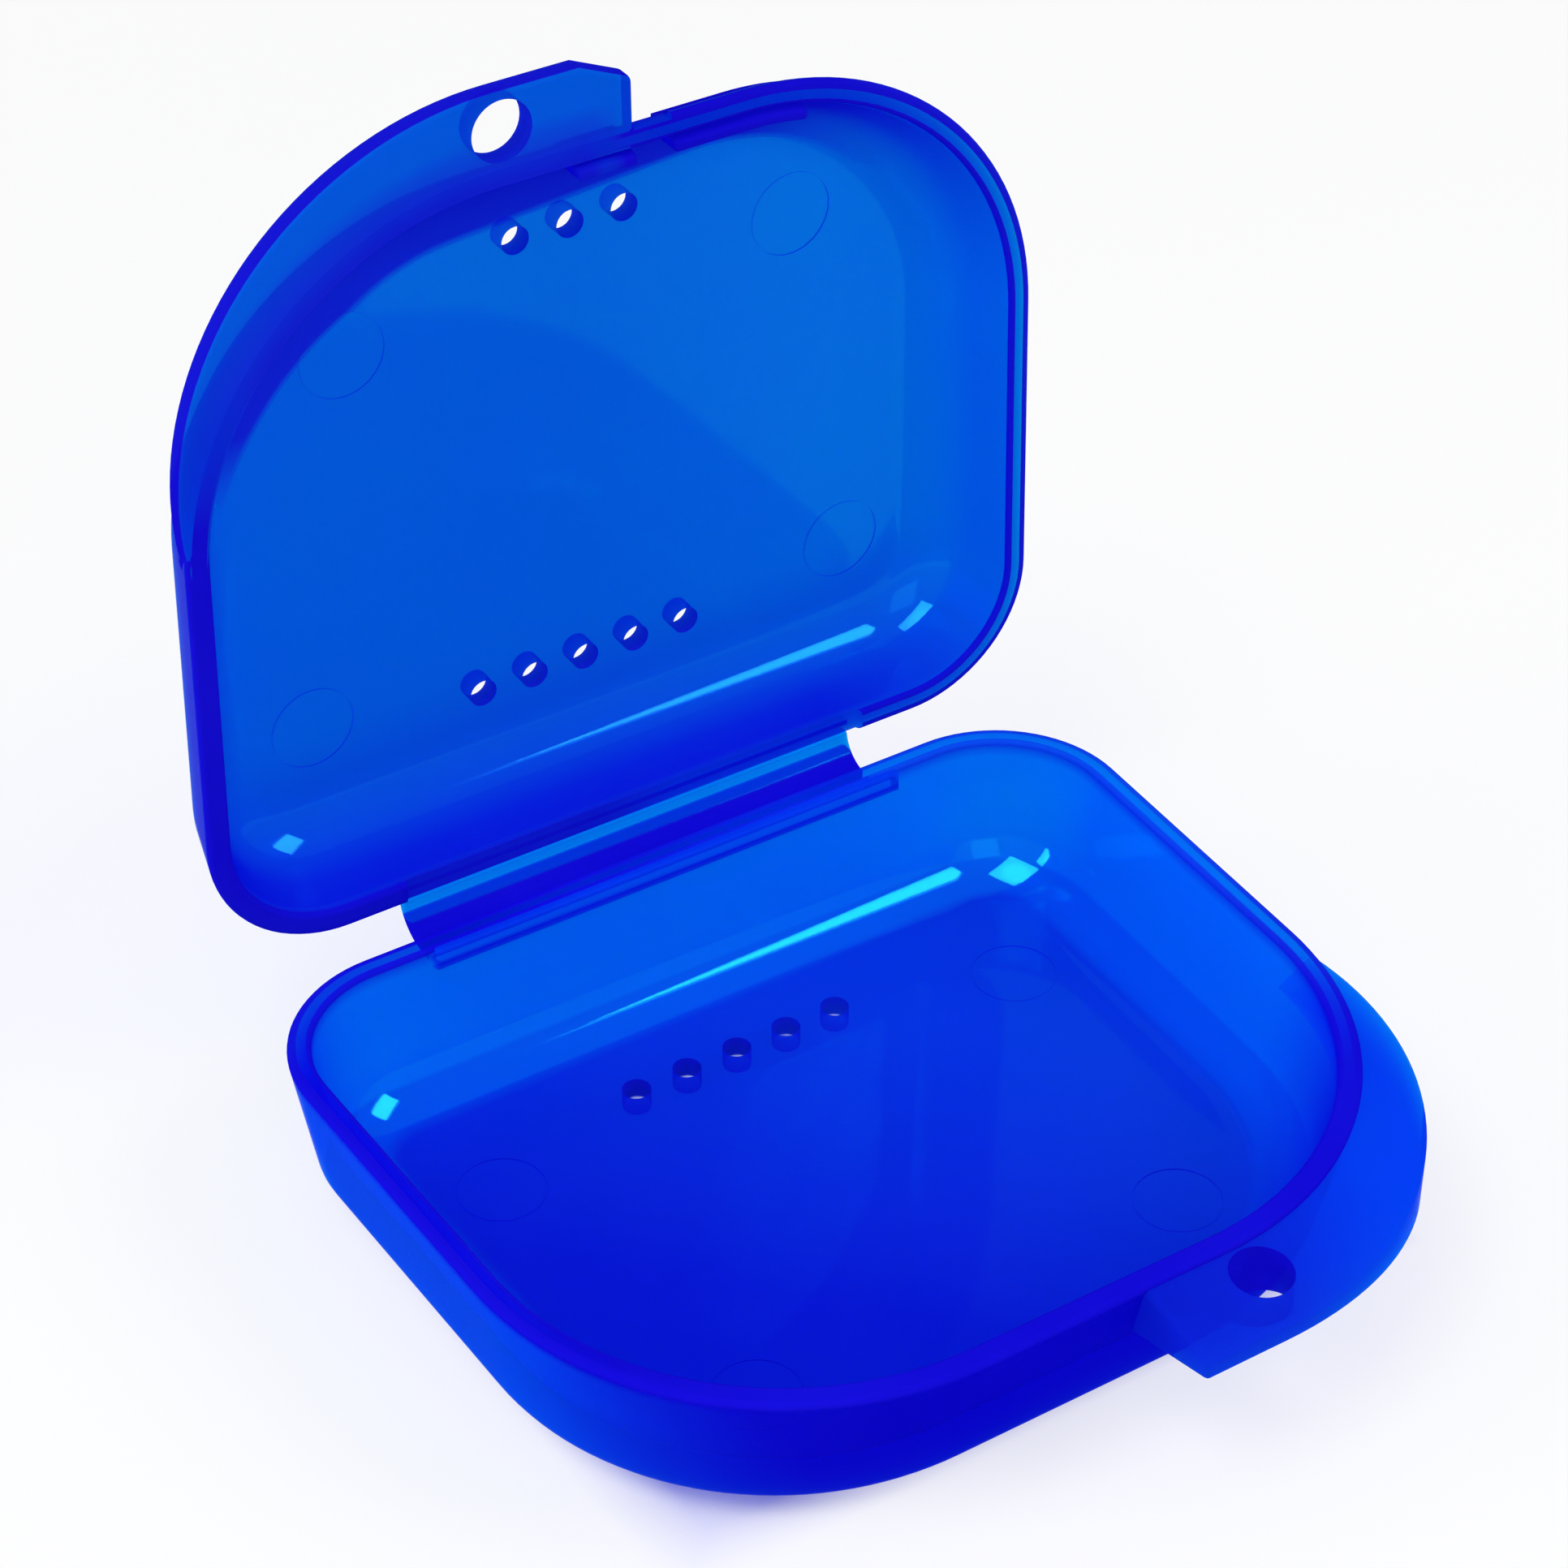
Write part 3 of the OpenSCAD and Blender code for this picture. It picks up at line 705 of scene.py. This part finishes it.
def pale_floor():
    """Pale paper that looks white to the camera, but for the place under the base."""
    mat, s = new_material("pale_floor")
    seen, mirrored, through = seen_rays(s)
    _, axes = place_on(s, "XY")
    x, y = (axis.absolute() for axis in axes)
    beside = x.fade(30, 36).most(y.fade(24, 29))
    far = (x * x + y * y).root().fade(200, 900, FLOOR_NEAR, 1)
    share = seen * beside * far + mirrored * FLOOR_MIRRORED + through * FLOOR_MIRRORED
    paper = s.node("ShaderNodeBsdfDiffuse", Color=PAPER_WHITE)
    glow = s.node("ShaderNodeEmission", Color=WHITE, Strength=1.0)
    skin = s.node("ShaderNodeMixShader", i0=share, i1=paper, i2=glow)
    s.node("ShaderNodeOutputMaterial", Surface=skin)
    return mat


def floor_plane(bm):
    bmesh.ops.create_grid(bm, x_segments=1, y_segments=1, size=FLOOR_SIZE)


floor = solid("studio_floor", floor_plane)
for v in floor.data.vertices:
    v.co = v.co * MM - Vector((0, 0, FLOOR_DROP * MM))
floor.data.materials.append(pale_floor())

world = bpy.data.worlds.new("studio")
bpy.context.scene.world = world
world.use_nodes = True
background = world.node_tree.nodes["Background"]
background.inputs["Color"].default_value = WHITE
seen, mirrored, through = seen_rays(Socket(world.node_tree))
backdrop = WORLD_LIGHT + seen * WORLD_SEEN + mirrored.most(through) * WORLD_MIRRORED
world.node_tree.links.new(backdrop.socket, background.inputs["Strength"])

# Where the lamps stand, as directions from the case's middle and distances, in metres
CASE_MIDDLE = Vector((0, 0.01, 0.03))
TOP_LEFT, BACK_LEFT = (-0.43, -0.10, 0.88), (-0.90, 0.30, 0.24)
RIGHT, FRONT = (0.62, -0.45, 0.62), (-0.25, -0.85, 0.46)
BOX_AWAY, GLEAM_AWAY = 0.9, 0.8
BOX_LIGHT, FRONT_LIGHT, GLEAM_LIGHT = 4.5, 1.5, 14.0


def softbox(name, direction, distance, width, height, radiance, shape="RECTANGLE", gleam_only=False):
    """A soft lamp that looks at the middle of the case; radiance 1 is white.

    A lamp that is gleam only shows in the gloss and lights nothing else.
    """
    light = bpy.data.lights.new(name, "AREA")
    light.shape, light.size, light.size_y = shape, width, height
    area = width * height * (math.pi / 4 if shape == "ELLIPSE" else 1)
    light.energy = radiance * math.pi * area
    lamp = bpy.data.objects.new(name, light)
    away = Vector(direction).normalized()
    lamp.location = CASE_MIDDLE + away * distance
    lamp.rotation_mode = "QUATERNION"
    lamp.rotation_quaternion = (-away).to_track_quat("-Z", "Y")
    lamp.visible_diffuse = lamp.visible_transmission = not gleam_only
    bpy.context.scene.collection.objects.link(lamp)


softbox("top_left_box", TOP_LEFT, BOX_AWAY, 0.48, 0.48, BOX_LIGHT, "ELLIPSE")
softbox("back_left_box", BACK_LEFT, BOX_AWAY, 0.36, 0.46, BOX_LIGHT)
softbox("right_box", RIGHT, BOX_AWAY, 0.42, 0.42, BOX_LIGHT)
softbox("front_box", FRONT, BOX_AWAY, 0.50, 0.50, FRONT_LIGHT)
softbox("left_gleam", BACK_LEFT, GLEAM_AWAY, 0.50, 0.60, GLEAM_LIGHT, gleam_only=True)
softbox("right_gleam", RIGHT, GLEAM_AWAY, 0.40, 0.30, GLEAM_LIGHT, gleam_only=True)
softbox("top_gleam", TOP_LEFT, GLEAM_AWAY, 0.60, 0.60, GLEAM_LIGHT, gleam_only=True)

# The camera at the photograph's viewing angle
SENSOR, LENS = 36.0, 93.08
CAMERA_PLACE = (-0.13782, -0.20373, 0.2308)
AZIMUTH, ELEVATION = math.radians(-32.54), math.radians(37.37)

camera = bpy.data.objects.new("camera", bpy.data.cameras.new("camera"))
bpy.context.scene.collection.objects.link(camera)
camera.data.sensor_width, camera.data.lens = SENSOR, LENS
camera.data.clip_start, camera.data.clip_end = 0.01, 20
camera.location = CAMERA_PLACE
level = math.cos(ELEVATION)
look = Vector((-math.sin(AZIMUTH) * level, math.cos(AZIMUTH) * level, -math.sin(ELEVATION)))
camera.rotation_mode = "QUATERNION"
camera.rotation_quaternion = look.to_track_quat("-Z", "Y")
bpy.context.scene.camera = camera
bpy.context.scene.view_settings.view_transform = "Standard"
